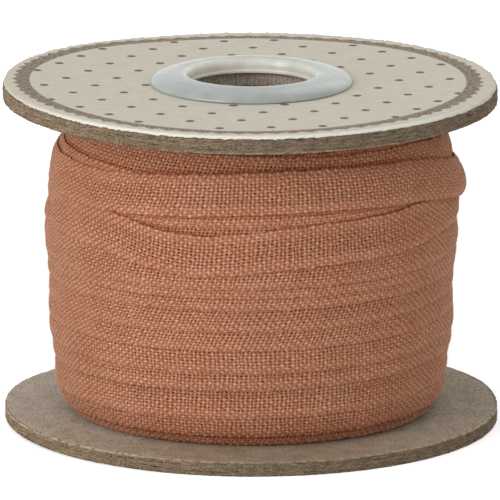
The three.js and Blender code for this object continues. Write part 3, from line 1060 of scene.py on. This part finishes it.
def core(material):
    """The card tube that the hole shows, wound on a slant so that a seam climbs round it."""
    bottom, top, outer = extent("core_tube")
    profile = [(outer, bottom), (outer, top), (HOLE_RADIUS + 0.1, top)]
    profile += [(HOLE_RADIUS, z) for z in np.linspace(top - 0.1, bottom + 0.1, 120)]
    profile += [(HOLE_RADIUS + 0.1, bottom)]

    def seam(azimuth, points):
        turn = (points[None, :, 1] / SEAM_PITCH - azimuth[:, None] / 360) % 1.0
        closed = np.clip(turn * SEAM_PITCH / 0.4, 0, 1) * np.clip((1 - turn) * 3, 0, 1)
        radial = np.where(points[None, :, 0] < HOLE_RADIUS + 0.05, 0.12 * (1 - closed), 0)
        return radial, np.zeros_like(radial)

    lathe("core_lining", "core_tube", profile, 180, [material], seam)


def base_winding(field, material):
    """The buried turns as one closed body, seen only in the gaps between the shown ones."""
    inner = extent("core_tube")[2] + 0.3
    rows = field[::BURIED_COLUMNS, ::BURIED_ROWS]
    heights = HEIGHTS[::BURIED_ROWS]
    segments = len(rows)
    radius = np.concatenate([rows - 0.05, np.full((segments, 2), inner)], 1)
    height = np.concatenate([heights, [heights[-1], heights[0]]])
    azimuths = AZIMUTHS[::BURIED_COLUMNS, None]
    points = around(radius, azimuths, np.repeat(height[None, :], segments, 0)).reshape(-1, 3)
    faces, i, j = ring_faces(segments, len(height))
    pick = math.radians(AZIMUTH_STEP * BURIED_COLUMNS) * BURIED_RADIUS / PICK_PITCH
    end = ROW_STEP * BURIED_ROWS / END_PITCH
    uv = quad_uv(i * pick, j * end, i * pick + pick, j * end + end)
    # The buried turns, seen only in gaps, take the full painted cleft shade.
    sunk = np.ones(len(points))
    mesh_piece("ribbon_buried", "winding", points, faces, uv, "weave", [material], sunk=sunk)


def winding(cloth, edge):
    """Lays every shown stretch of tape in order, and makes its piece."""
    field = buried_winding()
    buried = field.copy()
    start, split, end = (360 * turn for turn in (LAID_START, LAID_SPLIT, LAID_END))
    order = (
        ("ribbon_foot", Course(FOOT_TURN), True),
        ("ribbon_head", Course(HEAD_TURN), True),
        ("ribbon_laid_lower", Course(LAID_EDGE, LAID_LEAN, start, split, unit=360), False),
        ("ribbon_laid_upper", Course(LAID_EDGE, LAID_LEAN, split, end, unit=360), False),
        ("ribbon_top", Course(TOP_TURN), True),
        ("ribbon_stray", Course(STRAY_TURN), True),
        ("ribbon_loose", Course(LOOSE_TURNS, LOOSE_LEAN, -180, 540), True),
    )
    laid = [lay(field, course) for _, course, _ in order]
    smooth = blurred(field, SUNK_BLUR / ROW_STEP)
    base_winding(buried, edge)
    for (name, course, closed), outer in zip(order, laid):
        tape_piece(name, course, outer, closed, smooth, [cloth, edge])
    fuzz(field, fluff_material())


def white_floor():
    """A plain floor that is white to the camera and keeps the object's soft shadow."""
    bpy.ops.mesh.primitive_plane_add(size=16)
    floor = bpy.context.object
    floor.name = "floor"
    g = Graph("floor")
    lit = g.node("BsdfDiffuse", {"Color": (0.8, 0.8, 0.8, 1.0)})
    glow = g.node("Emission", {"Color": WHITE, "Strength": g.times(g.seen(), FLOOR_GLOW)})
    both = g.node("AddShader", {0: lit.outputs[0], 1: glow.outputs[0]})
    floor.data.materials.append(g.show(both))


def studio_world():
    """Plain light from all round, and a white background."""
    g = Graph("studio", world=True)
    ambient = g.node("Background", {"Color": WHITE, "Strength": WORLD_LEVEL})
    white = g.node("Background", {"Color": WHITE, "Strength": 1.0})
    choose = g.node("MixShader", {0: g.seen(), 1: ambient.outputs[0], 2: white.outputs[0]})
    bpy.context.scene.world = g.show(choose)


def aimed(data, azimuth, elevation, distance, roll=0.0):
    """The object of a lamp or camera, at a distance from the aim and turned to it."""
    a, e = math.radians(azimuth), math.radians(elevation)
    back = Vector((math.sin(a) * math.cos(e), -math.cos(a) * math.cos(e), math.sin(e)))
    turn = (-back).to_track_quat("-Z", "Y").to_matrix().to_4x4()
    made = bpy.data.objects.new(data.name, data)
    bpy.context.scene.collection.objects.link(made)
    place = Matrix.Translation(Vector(CAMERA_AIM) + back * distance)
    made.matrix_world = place @ turn @ Matrix.Rotation(math.radians(roll), 4, "Z")
    return made


def lamps():
    """Two soft discs of light: the key from the left, and a weak one from behind."""
    for name, azimuth, elevation, distance, size, power in LAMPS:
        data = bpy.data.lights.new(name, "AREA")
        data.shape = "DISK"
        data.size = size
        data.energy = power
        aimed(data, azimuth, elevation, distance)


def camera():
    """A view square on to the front, from a little above it."""
    data = bpy.data.cameras.new("camera")
    data.lens = CAMERA_LENS
    bpy.context.scene.camera = aimed(data, 0, CAMERA_ELEVATION, CAMERA_DISTANCE, CAMERA_ROLL)


card = card_material()
boards = [board_face_material(), board_rim_material(), card]
winding(ribbon_material("ribbon_cotton", 0.6), ribbon_material("ribbon_cotton_edge", 0.0))
board("flange_bottom", boards, BOTTOM_WARP, BOTTOM_SHIFT)
board("flange_top", boards, TOP_WARP)
label()
eyelet()
core(card)
white_floor()
studio_world()
lamps()
camera()
bpy.context.scene.view_settings.view_transform = "Standard"
